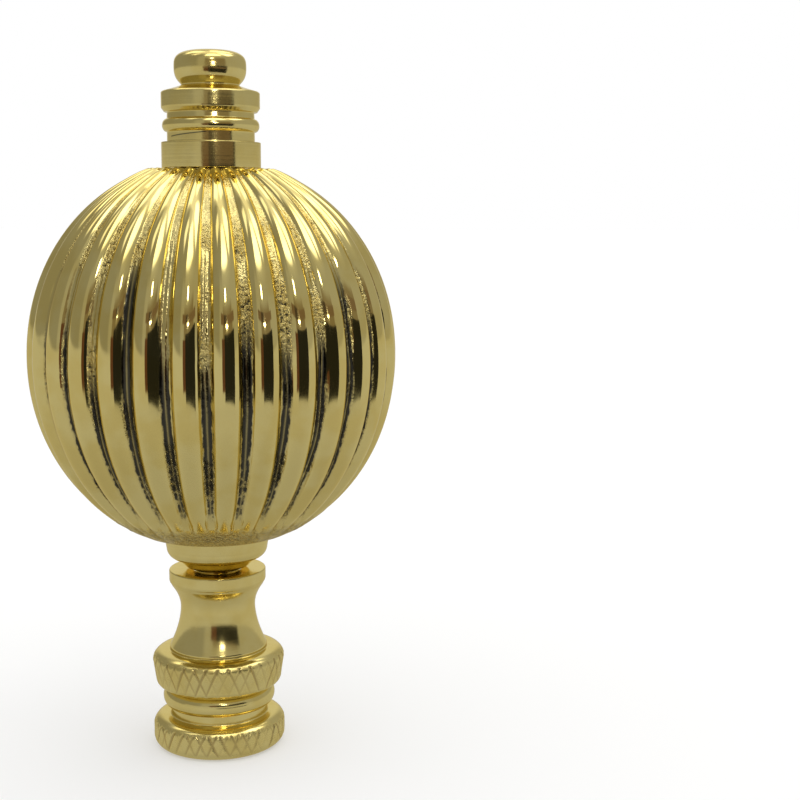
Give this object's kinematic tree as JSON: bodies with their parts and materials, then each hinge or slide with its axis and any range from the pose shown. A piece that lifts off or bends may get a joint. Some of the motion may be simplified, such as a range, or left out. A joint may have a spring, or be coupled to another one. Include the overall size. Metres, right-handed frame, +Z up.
{
  "type": "lamp shade finial",
  "caption": "Ribbed brass ball finial with a turned cap and a knurled base, screwed onto a lamp harp's stud to hold the shade down.",
  "frame": {"origin": "on the axis, in the plane of the foot", "axes": "+Z up along the axis, from the foot to the knob; -Y towards the camera of the picture"},
  "size_m": [0.0346, 0.0344, 0.0663],
  "materials": {
    "turned_brass": "polished and lacquered, with fine lathe lines round the axis and slight dulling in the grooves",
    "gilt_casting": "brass-plated casting, polished on the ribs, with rough dark cast grain left in the channels"
  },
  "bodies": {
    "root": {"top_cap": "turned_brass", "ribbed_ball": "gilt_casting", "seat_cup": "turned_brass", "knurled_base": "turned_brass"}
  },
  "joints": []
}
